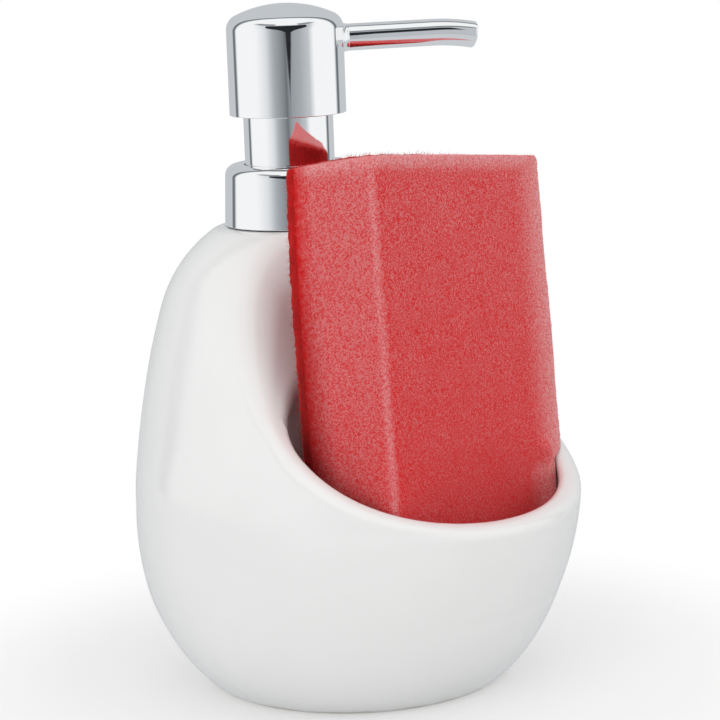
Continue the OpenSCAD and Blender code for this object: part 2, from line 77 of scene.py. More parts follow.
# Sizes of the ceramic body's form, the same as the frame's but for the foot's rounding
BOWL_R = 57.6 * MM
WAIST_H = 48.3 * MM
BOWL_DROP = 59.4 * MM
BOWL_POWER = 2.6
SHOULDER_R = 36.6 * MM
SHOULDER_H = 86.4 * MM
FLANK_R = 260 * MM
LEAN_H = 36 * MM
WALL = 5 * MM
FLOOR_T = 6 * MM
FOOT_ROUND = 1 * MM
FOOT_RECESS_R = 30 * MM
FOOT_RECESS_T = 1.2 * MM
RECESS_ROUND = 0.5 * MM
SCOOP_R = 82 * MM
SCOOP_X = 75.5 * MM
SCOOP_H = 128.5 * MM
COLUMN_R = 21 * MM
CUP_BACK_X = 8.5 * MM
CUP_FLOOR = 12 * MM
CAVITY_ROUND = 6 * MM
BORE_R = 13.75 * MM
BORE_FOOT = NECK_H - 20 * MM
BORE_ROUND = 0.4 * MM
ROOF_H = NECK_H - 13 * MM
# The lip's rounding grows to the brow's between these heights
LIP_H = 74 * MM
BROW_H = 92 * MM

# Sizes of the sponge, with its pad at the back
SPONGE_LEAN = math.radians(3)
SPONGE_SLOPE = math.radians(4)
SPONGE_X = 14 * MM
SPONGE_W = 69.5 * MM
SPONGE_T = 25.7 * MM
SPONGE_TOP = 134 * MM
PAD_T = 4 * MM

# Sizes of the pump's collar, sleeve and head
SHELL_T = 0.9 * MM
SLEEVE_T = 0.8 * MM
COLLAR_TOP_R = 16.85 * MM
COLLAR_ROUND = 2.8 * MM
HEAD_R = 15 * MM
HEAD_ROUND = 4 * MM
HEAD_DOME_R = 30 * MM
HEAD_ROUND_H = HEAD_TOP - HEAD_DOME_R + math.sqrt(
    (HEAD_DOME_R - HEAD_ROUND) ** 2 - (HEAD_R - HEAD_ROUND) ** 2)

# Sizes of the spout's run
SPOUT_R = 3.475 * MM
SPOUT_WALL = 0.8 * MM
SPOUT_H = 164.4 * MM
SPOUT_ROOT = 6.2 * MM
SPOUT_STRAIGHT = 40 * MM
SPOUT_BEND_R = 62 * MM
SPOUT_BEND = math.radians(11)
SPOUT_TURN = math.radians(57)

# The camera stands on the sponge's near side and looks a little down
CAMERA_PLACE = Vector((397.7, -512.2, 204.8)) * MM
CAMERA_HEADING = math.radians(127.62)
CAMERA_PITCH = math.radians(10.66)
CAMERA_ROLL = math.radians(2.05)
CAMERA_LENS_MM = 128.2
CAMERA_SENSOR_MM = 36

# The lamps' names, places and sizes in metres, and powers in watts at a strength of 1
LAMP_AIM = Vector((0, 0, 0.08))
LAMPS = (
    ("lamp_left", (0.15, -1.1, 0.4), 0.8, 7.0),
    ("lamp_right", (0.95, 0.45, 0.5), 0.8, 4.0),
    ("lamp_top", (0.1, -0.1, 1.2), 0.9, 7.0),
)


# Settings

def length_setting(name, description, default, low, high):
    """A length setting, its values in millimetres."""
    return FloatProperty(name=name, description=description, default=default * MM,
                         min=low * MM, max=high * MM, unit="LENGTH")


def colour_setting(name, description, *parts):
    """A colour setting."""
    return FloatVectorProperty(name=name, description=description, subtype="COLOR", size=4,
                               default=(*parts, 1), min=0, max=1)


class CaddyCeramic(PropertyGroup):
    """Form and glaze of the ceramic body."""
    lip_round: length_setting(
        "Lip rounding", "Rounding of both edges of the cup's lip", 2.3, 0.5, 2.5)
    brow_round: length_setting(
        "Brow rounding", "Rounding of the scoop's edge above the cup", 6.5, 1, 9)
    corner_round: length_setting(
        "Corner rounding", "Rounding where the cup's sides meet its back wall", 12, 1, 14)
    neck_fillet: length_setting(
        "Neck fillet", "Soft hollow where the scoop meets the neck", 8, 1, 15)
    forward: length_setting(
        "Forward lean", "How far the bowl's waist stands forward of the pump side", 1, 0, 1.5)
    land_round: length_setting(
        "Land rounding", "Rounding of the flat land under the collar", 1, 0.2, 2)
    mesh_step: length_setting("Mesh step", "Distance between the body's mesh points", 1.05, 0.9, 3)
    glaze: colour_setting("Glaze", "Colour of the glaze", 0.862, 0.866, 0.857)
    clay: colour_setting("Clay", "Colour of the bare foot ring", 0.70, 0.67, 0.61)
    gloss: FloatProperty(
        name="Glaze roughness", description="Roughness of the glaze",
        default=0.10, min=0, max=1, subtype="FACTOR")


class CaddyChrome(PropertyGroup):
    """The chrome shells of the pump."""
    steps: IntProperty(
        name="Steps round", description="Faces round each chrome shell",
        default=144, min=24, max=256)
    tint: colour_setting("Chrome", "Colour of the chrome", 0.955, 0.96, 0.965)
    rim_round: length_setting("Rim rounding", "Rounding of the thin rims", 0.14, 0.05, 0.4)
    boss_reach: length_setting(
        "Boss reach", "How far the flared boss reaches along the spout", 1.5, 1, 4)


class CaddySponge(PropertyGroup):
    """The foam sponge and its scouring pad."""
    mesh_step: length_setting(
        "Mesh step", "Distance between the sponge's mesh points", 0.8, 0.6, 3)
    foam: colour_setting("Foam", "Colour of the foam", 0.66, 0.020, 0.022)
    foam_pale: colour_setting(
        "Foam cell walls", "Colour of the foam's pale cell walls", 0.67, 0.21, 0.215)
    # Painted highlight: the colour the foam's edges are paled to.
    highlit: colour_setting("Frayed foam", "Colour of the foam's frayed edges", 0.76, 0.36, 0.37)
    pad: colour_setting("Pad", "Colour of the scouring pad", 0.50, 0.010, 0.010)
    flare: length_setting("Flare", "How far the squeezed foam swells over the lip", 5.8, 0, 7)
    crown: length_setting("Crown", "How far the middle of the cut top stands up", 2.4, 0, 4)
    front_rise: length_setting(
        "Front rise", "How far the cut top rises towards its near front corner", 3.3, 0, 5)
    fibres: IntProperty(
        name="Fibres", description="Number of loose fibres along the pad's edges",
        default=2600, min=0, max=6000)
    fuzz: IntProperty(
        name="Fuzz", description="Number of short fibres along the foam's edges",
        default=7000, min=0, max=12000)
    fibre_length: length_setting("Fibre length", "Length of the longest loose fibres", 1.5, 0.2, 3)


class CaddyWorks(PropertyGroup):
    """Plastics, rubber and steel of the pump's works."""
    white: colour_setting("White plastic", "Colour of the moulded white pieces", 0.78, 0.78, 0.77)
    milky: colour_setting(
        "Milky plastic", "Colour of the cloudy see-through pieces", 0.80, 0.84, 0.86)
    rubber: colour_setting("Rubber", "Colour of the seals", 0.022, 0.022, 0.024)
    steel: colour_setting("Steel", "Colour of the spring and the balls", 0.56, 0.57, 0.58)


class CaddyStage(PropertyGroup):
    """Floor, lamps and surroundings."""
    floor_r: length_setting("Floor radius", "Radius of the round floor", 600, 200, 2000)
    surround: FloatProperty(
        name="Surround", description="Strength of the even light from all round",
        default=0.655, min=0, max=2)
    lamps: FloatProperty(
        name="Lamps", description="Strength of the soft lamps together",
        default=0.45, min=0, max=4)


# Meshes

def weld(bm, distance=1e-7):
    """Joins vertices that lie on each other."""
    bmesh.ops.remove_doubles(bm, verts=bm.verts, dist=distance)


def soften(bm):
    """Moves each vertex half the way to the middle of its neighbours."""
    bmesh.ops.smooth_vert(bm, verts=bm.verts, factor=0.5,
                          use_axis_x=True, use_axis_y=True, use_axis_z=True)


def new_piece(name, bm, finish, body=None, replaced=(), sharp=math.radians(32)):
    """Links a bmesh as a piece of the object, smooth-shaded with its sharp edges kept."""
    for face in bm.faces:
        face.smooth = True
    for edge in bm.edges:
        edge.smooth = len(edge.link_faces) == 2 and edge.calc_face_angle(0) < sharp
    mesh = bpy.data.meshes.new(name)
    bm.to_mesh(mesh)
    bm.free()
    piece = bpy.data.objects.new(name, mesh)
    bpy.context.scene.collection.objects.link(piece)
    mesh.materials.clear()
    mesh.materials.append(finish)
    if body:
        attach(piece, body)
    if replaced:
        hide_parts(*replaced)
    return piece


def node_copy(*nodes):
    """The frame's own solids as one closed bmesh."""
    bm = bmesh.new()
    for node in nodes:
        bm.from_mesh(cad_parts[node].data)
        weld(bm, 1e-6)
    return bm


def even_mesh(bm, step):
    mesh = bpy.data.meshes.new("even")
    bm.to_mesh(mesh)
    bm.free()
    worker = bpy.data.objects.new("even", mesh)
    bpy.context.scene.collection.objects.link(worker)
    spread = worker.modifiers.new("spread", "REMESH")
    spread.mode = "VOXEL"
    spread.voxel_size = step
    graph = bpy.context.evaluated_depsgraph_get()
    result = bpy.data.meshes.new_from_object(worker.evaluated_get(graph))
    bpy.data.objects.remove(worker)
    bpy.data.meshes.remove(mesh)
    even = bmesh.new()
    even.from_mesh(result)
    bpy.data.meshes.remove(result)
    return even


def places(bm):
    """The bmesh's vertices as an array of points."""
    return np.array([vertex.co[:] for vertex in bm.verts])


def put(bm, points):
    """Moves the bmesh's vertices to the points."""
    for vertex, point in zip(bm.verts, points):
        vertex.co = point


# Profiles of the turned pieces: a chain of points in the XZ plane

def start_chain(bm, x, z):
    """The chain's first point."""
    return bm.verts.new((x, 0, z))


def line_to(bm, vertex, x, z):
    """Draws the chain on to a point."""
    vertex = bmesh.ops.extrude_vert_indiv(bm, verts=[vertex])["verts"][0]
    vertex.co = (x, 0, z)
    return vertex


def arc_by(bm, vertex, x, z, angle, steps):
    """Swings the chain's end about (x, z), with positive angles from +Z to +X."""
    result = bmesh.ops.spin(
        bm, geom=[vertex], cent=(x, 0, z), axis=(0, 1, 0), angle=angle, steps=steps)
    return next(item for item in result["geom_last"] if isinstance(item, bmesh.types.BMVert))


def turn(bm, steps):
    """Turns the chain once about the pump's axis into a closed shell.

    Each straight run first gets a point close to both its ends, which keeps its shading straight.
    """
    hold = 0.12 * MM
    for edge in [edge for edge in bm.edges if edge.calc_length() > 8 * hold]:
        vertex, far_end = edge.verts
        _, middle = bmesh.utils.edge_split(edge, vertex, hold / edge.calc_length())
        rest = next(other for other in middle.link_edges if far_end in other.verts)
        bmesh.utils.edge_split(rest, far_end, hold / rest.calc_length())
    bmesh.ops.spin(
        bm, geom=list(bm.verts) + list(bm.edges), cent=(0, 0, 0), axis=(0, 0, 1),
        angle=2 * math.pi, steps=steps, use_merge=True)
    weld(bm)
    bmesh.ops.recalc_face_normals(bm, faces=bm.faces)


def turned_shell(name, bm, corners, chrome, finish, body, node):
    """Rounds the chain's corners and turns it into a chrome shell on the pump's axis."""
    bmesh.ops.bevel(bm, geom=corners, offset=chrome.rim_round, offset_type="OFFSET", segments=4,
                    profile=0.5, affect="VERTICES", material=-1)
    turn(bm, chrome.steps)
    bmesh.ops.translate(bm, verts=bm.verts, vec=PUMP_AXIS)
    new_piece(name, bm, finish, body, [node])


# Smooth form of the ceramic body: each field is a distance, negative inside

def crossing(a, b, radius):
    """What lies inside both fields, their shared edge rounded."""
    inner = np.minimum(np.maximum(a, b), -radius)
    return inner + np.hypot(np.maximum(a + radius, 0), np.maximum(b + radius, 0))


def joining(a, b, radius):
    """What lies inside either field, their shared corner filled."""
    return -crossing(-a, -b, radius)


def egg(points, inset):
    """Bowl below the waist, ball and leaning shoulder above it."""
    x, y, z = points.T
    rise = SHOULDER_H - WAIST_H
    lean = math.atan2(-PUMP_X, rise)
    lean_len = math.hypot(PUMP_X, rise)
    to_bowl, to_shoulder = FLANK_R - BOWL_R, FLANK_R - SHOULDER_R
    flank_s = (to_bowl ** 2 - to_shoulder ** 2 + lean_len ** 2) / (2 * lean_len)
    flank_off = math.sqrt(to_bowl ** 2 - flank_s ** 2)
    drop = np.clip((WAIST_H - z) / (BOWL_DROP - inset), 0, 0.995)
    shape = (1 - drop ** 2) ** (1 / BOWL_POWER)
    slope = ((BOWL_R - inset) / (BOWL_DROP - inset) * 2 * drop / BOWL_POWER
             * shape / (1 - drop ** 2))
    lower = (np.hypot(x, y) - (BOWL_R - inset) * shape) / np.sqrt(1 + slope ** 2)
    up = z - WAIST_H
    along = up * math.cos(lean) - x * math.sin(lean)
    across = np.hypot(x * math.cos(lean) + up * math.sin(lean), y)
    turned = np.arctan2(along - flank_s, across + flank_off)
    ball = np.hypot(across, along) - BOWL_R
    flank = np.hypot(across + flank_off, along - flank_s) - FLANK_R
    cap = np.hypot(across, along - lean_len) - SHOULDER_R
    upper = np.where(turned < math.atan2(-flank_s, flank_off), ball, np.where(
        turned < math.atan2(lean_len - flank_s, flank_off), flank, cap))
    return np.where(z > WAIST_H, upper + inset, lower)


def ahead_of(start, x, z):
    """Distance in front of a wall that meets the waist at start and leans as the sponge does."""
    return (x - start) * math.cos(SPONGE_LEAN) + (z - WAIST_H) * math.sin(SPONGE_LEAN)


def body_field(points, ceramic):
    """The whole ceramic body with its rounded lip, cup, reservoir and neck."""
    x, y, z = points.T
    pump_r = np.hypot(x - PUMP_X, y)
    scoop = np.hypot(x - SCOOP_X, z - SCOOP_H) - SCOOP_R
    kept = joining(-scoop, pump_r - COLUMN_R, ceramic.neck_fillet)
    inner = egg(points, WALL)
    cup = crossing(inner, CUP_FLOOR - z, CAVITY_ROUND)
    cup = crossing(cup, -ahead_of(CUP_BACK_X, x, z), ceramic.corner_round)
    store = crossing(inner, FLOOR_T - z, CAVITY_ROUND)
    store = np.maximum(store, z - ROOF_H)
    store = np.maximum(store, ahead_of(CUP_BACK_X - WALL, x, z))
    store = np.maximum(store, WALL - scoop)
    bore = np.maximum(pump_r - BORE_R, BORE_FOOT - z)
    recess = np.maximum(np.hypot(x, y) - FOOT_RECESS_R, z - FOOT_RECESS_T)
    forward = ceramic.forward * np.clip((z - LEAN_H) / (WAIST_H - LEAN_H), -1, 1)
    forward = forward * np.clip((SHOULDER_H - z) / (SHOULDER_H - WAIST_H), 0, 1)
    outside = egg(points - forward[:, None] * np.array((1, 0, 0)), 0)
    field = crossing(outside, -z, FOOT_ROUND)
    field = crossing(field, z - NECK_H, ceramic.land_round)
    above_cup = np.clip((z - LIP_H) / (BROW_H - LIP_H), 0, 1)
    edge = ceramic.lip_round + (ceramic.brow_round - ceramic.lip_round) * above_cup
    field = crossing(field, kept, edge)
    field = crossing(field, -cup, ceramic.lip_round)
    field = np.maximum(field, -store)
    field = crossing(field, -bore, BORE_ROUND)
    return crossing(field, -recess, RECESS_ROUND)


def settle(points, ceramic, rounds):
    """Moves points onto the body's surface along the field's slope."""
    probe, furthest, least_square = 0.02 * MM, 1 * MM, 0.25
    for _ in range(rounds):
        value = body_field(points, ceramic)
        slope = np.stack([
            (body_field(points + step, ceramic) - body_field(points - step, ceramic)) / (2 * probe)
            for step in np.eye(3) * probe], axis=1)
        square = np.maximum((slope ** 2).sum(axis=1), least_square)
        move = -slope * (value / square)[:, None]
        length = np.maximum(np.linalg.norm(move, axis=1, keepdims=True), 1e-9)
        points = points + move * np.minimum(1, furthest / length)
    return points


# Materials

def begin(name):
    """A new material with its tree and its shader."""
    material = bpy.data.materials.new(name)
    material.use_nodes = True
    return material, material.node_tree, material.node_tree.nodes["Principled BSDF"]


def feed(tree, node, inputs):
    """Gives a node's inputs their values or links."""
    for key, value in inputs.items():
        if isinstance(value, bpy.types.NodeSocket):
            tree.links.new(value, node.inputs[key])
        else:
            node.inputs[key].default_value = value


def add(tree, kind, inputs=None, **settings):
    """Adds a shader node, with values or links for its inputs."""
    node = tree.nodes.new("ShaderNode" + kind)
    for key, value in settings.items():
        setattr(node, key, value)
    feed(tree, node, inputs or {})
    return node


def place_in(tree):
    """The piece's own coordinates."""
    return add(tree, "TexCoord").outputs["Object"]


def height_in(tree):
    """Height in the piece's own coordinates."""
    return add(tree, "SeparateXYZ", {0: place_in(tree)}).outputs["Z"]


def mark(tree, name):
    """A mark that the mesh carries on its vertices."""
    return add(tree, "Attribute", attribute_name=name).outputs["Fac"]


def grain(tree, scale, detail=4.0, roughness=0.5, stretch=(1, 1, 1)):
    """Noise over the piece's own coordinates, in grains per metre."""
    mapping = add(tree, "Mapping", {"Vector": place_in(tree), "Scale": stretch})
    return add(tree, "TexNoise", {
        "Vector": mapping.outputs["Vector"], "Scale": scale,
        "Detail": detail, "Roughness": roughness}).outputs["Fac"]


def between(tree, value, low, high, to_low, to_high):
    """Maps a value from one range to another, clamped."""
    return add(tree, "MapRange", {
        "Value": value, "From Min": low, "From Max": high,
        "To Min": to_low, "To Max": to_high}).outputs["Result"]


def blend(tree, factor, first, second):
    """Mixes two colours."""
    return add(tree, "Mix", {"Factor": factor, 6: first, 7: second}, data_type="RGBA").outputs[2]


def arithmetic(tree, operation, first, second=0.0, clamp=False):
    return add(tree, "Math", {0: first, 1: second}, operation=operation,
               use_clamp=clamp).outputs[0]


def times(tree, first, second, clamp=False):
    return arithmetic(tree, "MULTIPLY", first, second, clamp)


def plus(tree, first, second):
    return arithmetic(tree, "ADD", first, second)


def shade(colour, share):
    """The same colour, lighter or darker by a share."""
    return tuple(min(1.0, part * share) for part in colour[:3]) + (1.0,)


def bumps(tree, height, distance, strength=1.0, under=None):
    inputs = {"Height": height, "Distance": distance, "Strength": strength}
    if under:
        inputs["Normal"] = under
    return add(tree, "Bump", inputs).outputs["Normal"]


def glaze_finish(ceramic):
    """Glossy white glaze with a slight pull, and a bare foot ring."""
    material, tree, shader = begin("white_glaze")
    pooled = grain(tree, 28, 3)
    colour = blend(tree, between(tree, pooled, 0.35, 0.7, 0, 1),
                   ceramic.glaze, shade(ceramic.glaze, 0.965))
    uneven = between(tree, grain(tree, 140), 0.3, 0.7, -0.4 * MM, 0.4 * MM)
    bare = between(tree, plus(tree, height_in(tree), uneven), 0.9 * MM, 1.3 * MM, 1, 0)
    grit = grain(tree, 2600, 6)
    clay = blend(tree, grit, shade(ceramic.clay, 0.88), ceramic.clay)
    gloss = between(tree, grain(tree, 90, 5), 0.3, 0.75, ceramic.gloss * 0.8, ceramic.gloss * 1.35)
    wave = bumps(tree, grain(tree, 38, 2), 0.5 * MM, 0.12)
    peel = bumps(tree, grain(tree, 700, 3), 0.02 * MM, 0.25, wave)
    feed(tree, shader, {
        "Base Color": blend(tree, bare, colour, clay),
        "Roughness": add(tree, "Mix", {"Factor": bare, 2: gloss, 3: 0.75}).outputs[0],
        "Normal": bumps(tree, times(tree, grit, bare), 0.12 * MM, 0.6, peel),
        "IOR": 1.52, "Coat Weight": 0.25, "Coat Roughness": 0.04})
    return material


def chrome_finish(chrome):
    """Mirror chrome with faint polishing haze."""
    material, tree, shader = begin("polished_chrome")
    haze = between(tree, grain(tree, 120, 5, stretch=(1, 1, 0.35)), 0.4, 0.8, 0, 1)
    feed(tree, shader, {
        "Base Color": blend(tree, haze, chrome.tint, shade(chrome.tint, 0.97)),
        "Roughness": between(tree, grain(tree, 420, 6), 0.35, 0.8, 0.018, 0.055),
        "Normal": bumps(tree, grain(tree, 60, 2), 0.05 * MM, 0.06),
        "Metallic": 1})
    return material


def moulded_finish(name, colour, roughness, see_through=0.0):
    """Moulded plastic with a fine texture and faint flow marks."""
    material, tree, shader = begin(name)
    flow = between(tree, grain(tree, 160, 4, stretch=(1, 1, 0.25)), 0.3, 0.75, 0, 1)
    fine = grain(tree, 900, 5)
    feed(tree, shader, {
        "Base Color": blend(tree, flow, colour, shade(colour, 0.94)),
        "Roughness": between(tree, fine, 0.3, 0.7, roughness * 0.85, roughness * 1.2),
        "Normal": bumps(tree, grain(tree, 3000, 4), 0.03 * MM, 0.4),
        "IOR": 1.49, "Transmission Weight": see_through})
    return material


def rubber_finish(works):
    """Matt rubber with a dusty bloom."""
    material, tree, shader = begin("seal_rubber")
    bloom = between(tree, grain(tree, 240, 5), 0.4, 0.75, 0, 1)
    feed(tree, shader, {
        "Base Color": blend(tree, bloom, works.rubber, shade(works.rubber, 2.2)),
        "Roughness": between(tree, bloom, 0, 1, 0.55, 0.75),
        "Normal": bumps(tree, grain(tree, 2400, 5), 0.05 * MM, 0.5)})
    return material


def steel_finish(name, colour, roughness):
    """Drawn or polished steel with a fine grain."""
    material, tree, shader = begin(name)
    streaks = grain(tree, 700, 6)
    feed(tree, shader, {
        "Base Color": blend(tree, streaks, shade(colour, 0.85), shade(colour, 1.12)),
        "Roughness": between(tree, streaks, 0.3, 0.7, roughness * 0.7, roughness * 1.3),
        "Normal": bumps(tree, streaks, 0.02 * MM, 0.3),
        "Metallic": 1})
    return material


def painted_shade_by_pad(tree, colour):
    """Paints shade on a colour low on the sponge's near side, close to the pad, where the caddy's
    body shades it.
    """
    low = between(tree, height_in(tree), 65 * MM, 118 * MM, 0.8, 0)
    shade_amount = times(tree, low, between(tree, mark(tree, "depth"), 1 * MM, 11 * MM, 1, 0))
    return blend(tree, times(tree, shade_amount, mark(tree, "side")), colour, (0.02, 0.003, 0.003, 1))


def foam_finish(sponge, name="red_foam", lift=1.0, paleness=1.0):
    """Open-cell foam: red cells in pale cell walls, with painted light, highlight, sheen and
    shade.

    Lift lightens the cells and paleness the cell walls. As painted light, the walls show more
    higher up, the near side and top are paler, the edges get a painted highlight and faces that
    turn away a painted sheen. The foam is stained next to the pad, and painted shade darkens
    its near side low down by the pad.
    """
    material, tree, shader = begin(name)
    pale = (sponge.foam_pale[0], *(min(1, part * paleness) for part in sponge.foam_pale[1:3]), 1)
    cells = plus(tree, times(tree, grain(tree, 2600, 2), 0.62),
                 times(tree, grain(tree, 1300, 3, 0.55), 0.38))
    height = height_in(tree)
    # Painted light: the pale cell walls show more higher up, where more light falls.
    paler = times(tree, between(tree, cells, 0.42, 0.64, 0, 1.15),
                  between(tree, height, 50 * MM, 125 * MM, 0.45, 0.85))
    speckled = blend(tree, paler, shade(sponge.foam, lift), pale)
    patch = between(tree, grain(tree, 90, 4), 0.35, 0.7, 0, 0.22)
    hue = blend(tree, patch, speckled, shade(sponge.foam, 0.95))
    # Painted light paling the near side and top, plus painted sheen on faces that turn away.
    haze = times(tree, mark(tree, "side"), between(tree, height, 55 * MM, 100 * MM, 0.28, 0.5))
    turned = add(tree, "LayerWeight", {"Blend": 0.35}).outputs["Facing"]
    haze = plus(tree, haze, between(tree, turned, 0.6, 0.97, 0, 0.45))
    haze = times(tree, haze, between(tree, cells, 0.42, 0.62, 0.3, 1.4), clamp=True)
    # Painted highlight along the edges marked on the mesh.
    highlit = times(tree, mark(tree, "edge"), between(tree, cells, 0.40, 0.64, 0.35, 1.1),
                   clamp=True)
    lit = blend(tree, highlit, blend(tree, haze, hue, pale), sponge.highlit)
    uneven = between(tree, grain(tree, 700, 4), 0.3, 0.7, -1.2 * MM, 1.2 * MM)
    ragged = plus(tree, mark(tree, "depth"), uneven)
    stained = blend(tree, between(tree, ragged, 3.8 * MM, 8.6 * MM, 1, 0), lit,
                    shade(sponge.pad, 1.2 * lift))
    # Painted shade is laid on the base colour low on the near side, by the pad.
    feed(tree, shader, {
        "Base Color": painted_shade_by_pad(tree, stained), "Normal": bumps(tree, cells, 0.3 * MM, 0.4),
        "Roughness": 0.95, "Specular IOR Level": 0.08,
        "Sheen Weight": 0.35, "Sheen Roughness": 0.4, "Sheen Tint": (1, 0.72, 0.71, 1),
        "Subsurface Weight": 0.15, "Subsurface Radius": (1, 0.3, 0.25),
        "Subsurface Scale": 1.0 * MM})
    return material


def pad_finish(sponge, name="red_scourer", lift=1.0):
    """Coarse non-woven pad of crossed fibres."""
    material, tree, shader = begin(name)
    lengthwise = grain(tree, 900, 4, 0.7, (1, 1, 0.2))
    crosswise = grain(tree, 900, 4, 0.7, (0.5, 0.2, 1))
    weave = arithmetic(tree, "MAXIMUM", lengthwise, crosswise)
    colour = shade(sponge.pad, lift)
    woven = blend(tree, between(tree, weave, 0.42, 0.72, 0, 1), shade(colour, 0.72),
                  shade(colour, 1.25))
    # Painted shade is laid on the pad's base colour low on its near side.
    feed(tree, shader, {
        "Base Color": painted_shade_by_pad(tree, woven), "Normal": bumps(tree, weave, 0.5 * MM, 0.5),
        "Roughness": 0.8, "Specular IOR Level": 0.12,
        "Sheen Weight": 0.1, "Sheen Tint": (1, 0.5, 0.48, 1)})
    return material


# Pieces

def make_ceramic_body(ceramic):
    """Glazed egg with its scooped cup, made even and settled on its smooth form."""
    bm = even_mesh(node_copy("ceramic_body"), ceramic.mesh_step)
    put(bm, settle(places(bm), ceramic, 4))
    for _ in range(3):
        soften(bm)
        put(bm, settle(places(bm), ceramic, 3))
    new_piece("ceramic_body_glazed", bm, glaze_finish(ceramic), "caddy",
              ["ceramic_body"], math.radians(50))


def make_collar(chrome, finish):
    """Collar shell: an upright wall that rounds over to the sleeve's opening."""
    top, foot = COLLAR_HIGH.z, COLLAR_LOW.z
    hole, edge_x, edge_z = SLEEVE_R + 0.3 * MM, COLLAR_TOP_R - COLLAR_ROUND, top - COLLAR_ROUND
    bm = bmesh.new()
    lip_out = start_chain(bm, hole, top)
    vertex = line_to(bm, lip_out, edge_x, top)
    vertex = arc_by(bm, vertex, edge_x, edge_z, math.radians(90), 16)
    rim_out = line_to(bm, vertex, COLLAR_R, foot)
    rim_in = line_to(bm, rim_out, COLLAR_R - SHELL_T, foot)
    vertex = line_to(bm, rim_in, COLLAR_TOP_R - SHELL_T, edge_z)
    vertex = arc_by(bm, vertex, edge_x, edge_z, math.radians(-90), 10)
    lip_in = line_to(bm, vertex, hole, top - SHELL_T)
    bm.edges.new((lip_in, lip_out))
    turned_shell("collar_chrome", bm, [lip_out, rim_out, rim_in, lip_in], chrome, finish,
                 "pump", "collar_shell")


def make_sleeve(chrome, finish):
    """Plain chrome tube between the collar and the head."""
    inside = SLEEVE_R - SLEEVE_T
    bm = bmesh.new()
    corners = [start_chain(bm, SLEEVE_R, SLEEVE_HIGH.z)]
    for x, z in ((SLEEVE_R, SLEEVE_LOW.z), (inside, SLEEVE_LOW.z), (inside, SLEEVE_HIGH.z)):
        corners.append(line_to(bm, corners[-1], x, z))
    bm.edges.new((corners[-1], corners[0]))
    turned_shell("sleeve_chrome", bm, corners, chrome, finish, "head", "stem_sleeve")


def head_radius(z):
    """Radius of the head's outside at a height."""
    if z <= HEAD_ROUND_H:
        return HEAD_R
    return HEAD_R - HEAD_ROUND + math.sqrt(max(0, HEAD_ROUND ** 2 - (z - HEAD_ROUND_H) ** 2))


def make_head(chrome, finish):
    """Head shell with its low dome and round shoulder."""
    inside, centre_x, dome_z = HEAD_R - SHELL_T, HEAD_R - HEAD_ROUND, HEAD_TOP - HEAD_DOME_R
    dome = math.atan2(centre_x, HEAD_ROUND_H - dome_z)
    bm = bmesh.new()
    vertex = start_chain(bm, 0, HEAD_TOP)
    vertex = arc_by(bm, vertex, 0, dome_z, dome, 12)
    vertex = arc_by(bm, vertex, centre_x, HEAD_ROUND_H, math.pi / 2 - dome, 14)
    vertex = line_to(bm, vertex, HEAD_R, (HEAD_ROUND_H + HEAD_RIM) / 2)
    rim_out = line_to(bm, vertex, HEAD_R, HEAD_RIM)
    rim_in = line_to(bm, rim_out, inside, HEAD_RIM)
    vertex = line_to(bm, rim_in, inside, HEAD_ROUND_H)
    vertex = arc_by(bm, vertex, centre_x, HEAD_ROUND_H, dome - math.pi / 2, 8)
    arc_by(bm, vertex, 0, dome_z, -dome, 8)
    turned_shell("head_chrome", bm, [rim_out, rim_in], chrome, finish, "head", "head_shell")


def spout_frame():
    """Turns a shape drawn along +X at the origin to the spout's heading and height."""
    return Matrix.Translation(PUMP_AXIS + Vector((0, 0, SPOUT_H))) @ Matrix.Rotation(
        SPOUT_TURN, 4, "Z")


def make_boss(chrome, finish):
    """Flared boss that grows out of the head's side round the spout."""
    flare = chrome.boss_reach
    mouth = SPOUT_R + 0.12 * MM
    bm = bmesh.new()
    vertex = start_chain(bm, flare + 0.25 * MM, mouth - 0.1 * MM)
    vertex = line_to(bm, vertex, flare, mouth)
    arc_by(bm, vertex, flare, mouth + flare, math.radians(88), 14)
    bmesh.ops.spin(bm, geom=list(bm.verts) + list(bm.edges), cent=(0, 0, 0), axis=(1, 0, 0),
                   angle=2 * math.pi, steps=72, use_merge=True)
    sunk = 0.06 * MM
    for vertex in bm.verts:
        x, y, z = vertex.co
        radius = head_radius(SPOUT_H + z)
        vertex.co.x = x + math.sqrt(max(0, radius ** 2 - y ** 2)) - sunk
    weld(bm)
    bmesh.ops.recalc_face_normals(bm, faces=bm.faces)
    bmesh.ops.transform(bm, matrix=spout_frame(), verts=bm.verts)
    new_piece("spout_boss_chrome", bm, finish, "head")


